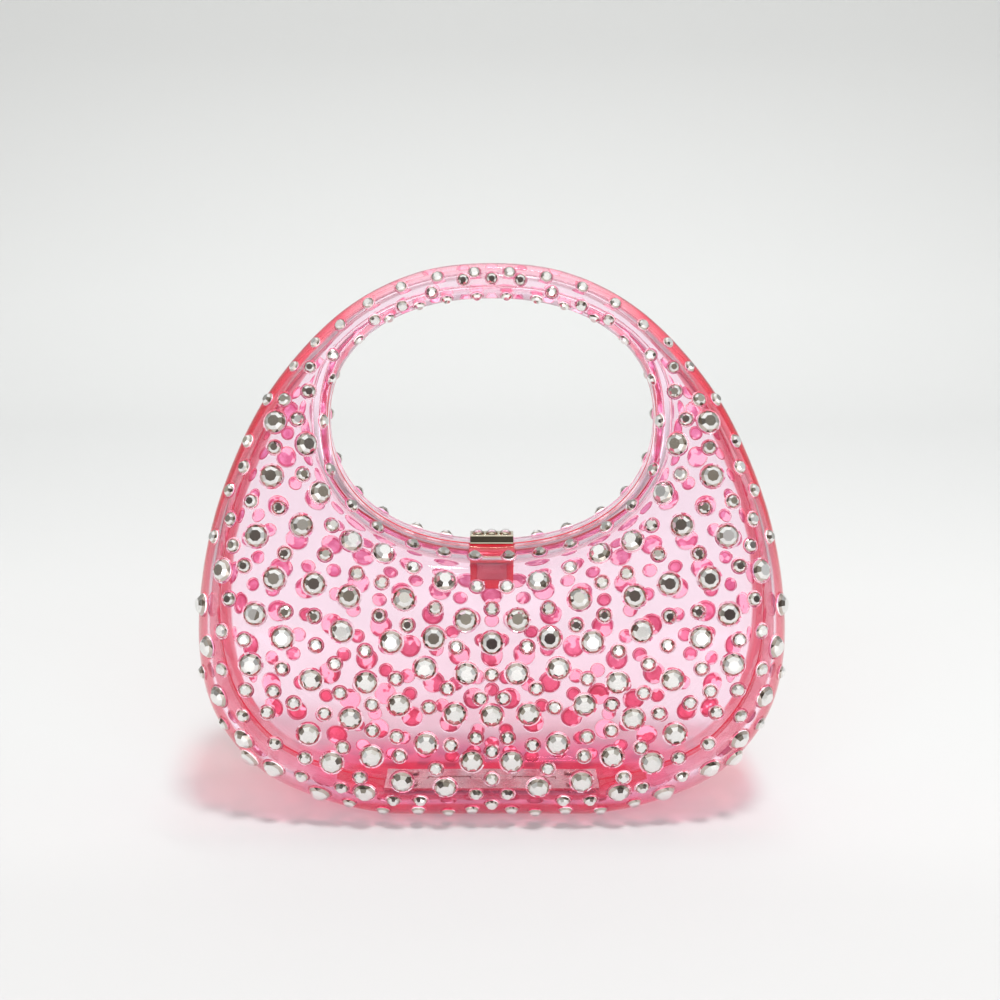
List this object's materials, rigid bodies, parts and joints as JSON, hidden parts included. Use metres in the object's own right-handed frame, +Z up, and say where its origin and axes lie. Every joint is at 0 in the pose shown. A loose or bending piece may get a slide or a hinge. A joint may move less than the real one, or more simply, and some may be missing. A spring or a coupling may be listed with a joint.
{
  "type": "rhinestone top-handle shell bag",
  "caption": "Hard-shell handbag of clear pink acrylic with an oval hand hole, cut stones on both faces, a rim clasp and a base hinge.",
  "frame": {"origin": "middle of the base, on the surface that the bag stands on", "axes": "+X across the bag, +Y from the front half to the back half, +Z up to the handle"},
  "size_m": [0.1904, 0.07, 0.18],
  "materials": {
    "acrylic": "clear pink acrylic, polished, with silver cut stones",
    "clasp_metal": "polished plate",
    "hinge_metal": "satin"
  },
  "bodies": {
    "back_half": {"back_shell": "acrylic", "clasp_keeper": "clasp_metal", "hinge_leaf_back": "hinge_metal", "hinge_pin": "hinge_metal", "rivet_back_left": "hinge_metal", "rivet_back_middle": "hinge_metal", "rivet_back_right": "hinge_metal"},
    "front_half": {"front_shell": "acrylic", "clasp": "clasp_metal", "hinge_leaf_front": "hinge_metal", "rivet_front_left": "hinge_metal", "rivet_front_middle": "hinge_metal", "rivet_front_right": "hinge_metal"}
  },
  "joints": [
    {"name": "base_hinge", "type": "hinge", "parent": "back_half", "child": "front_half", "pos_m": [0, 0, 0.0045], "axis": [1, 0, 0], "range_deg": [0, 70]}
  ]
}
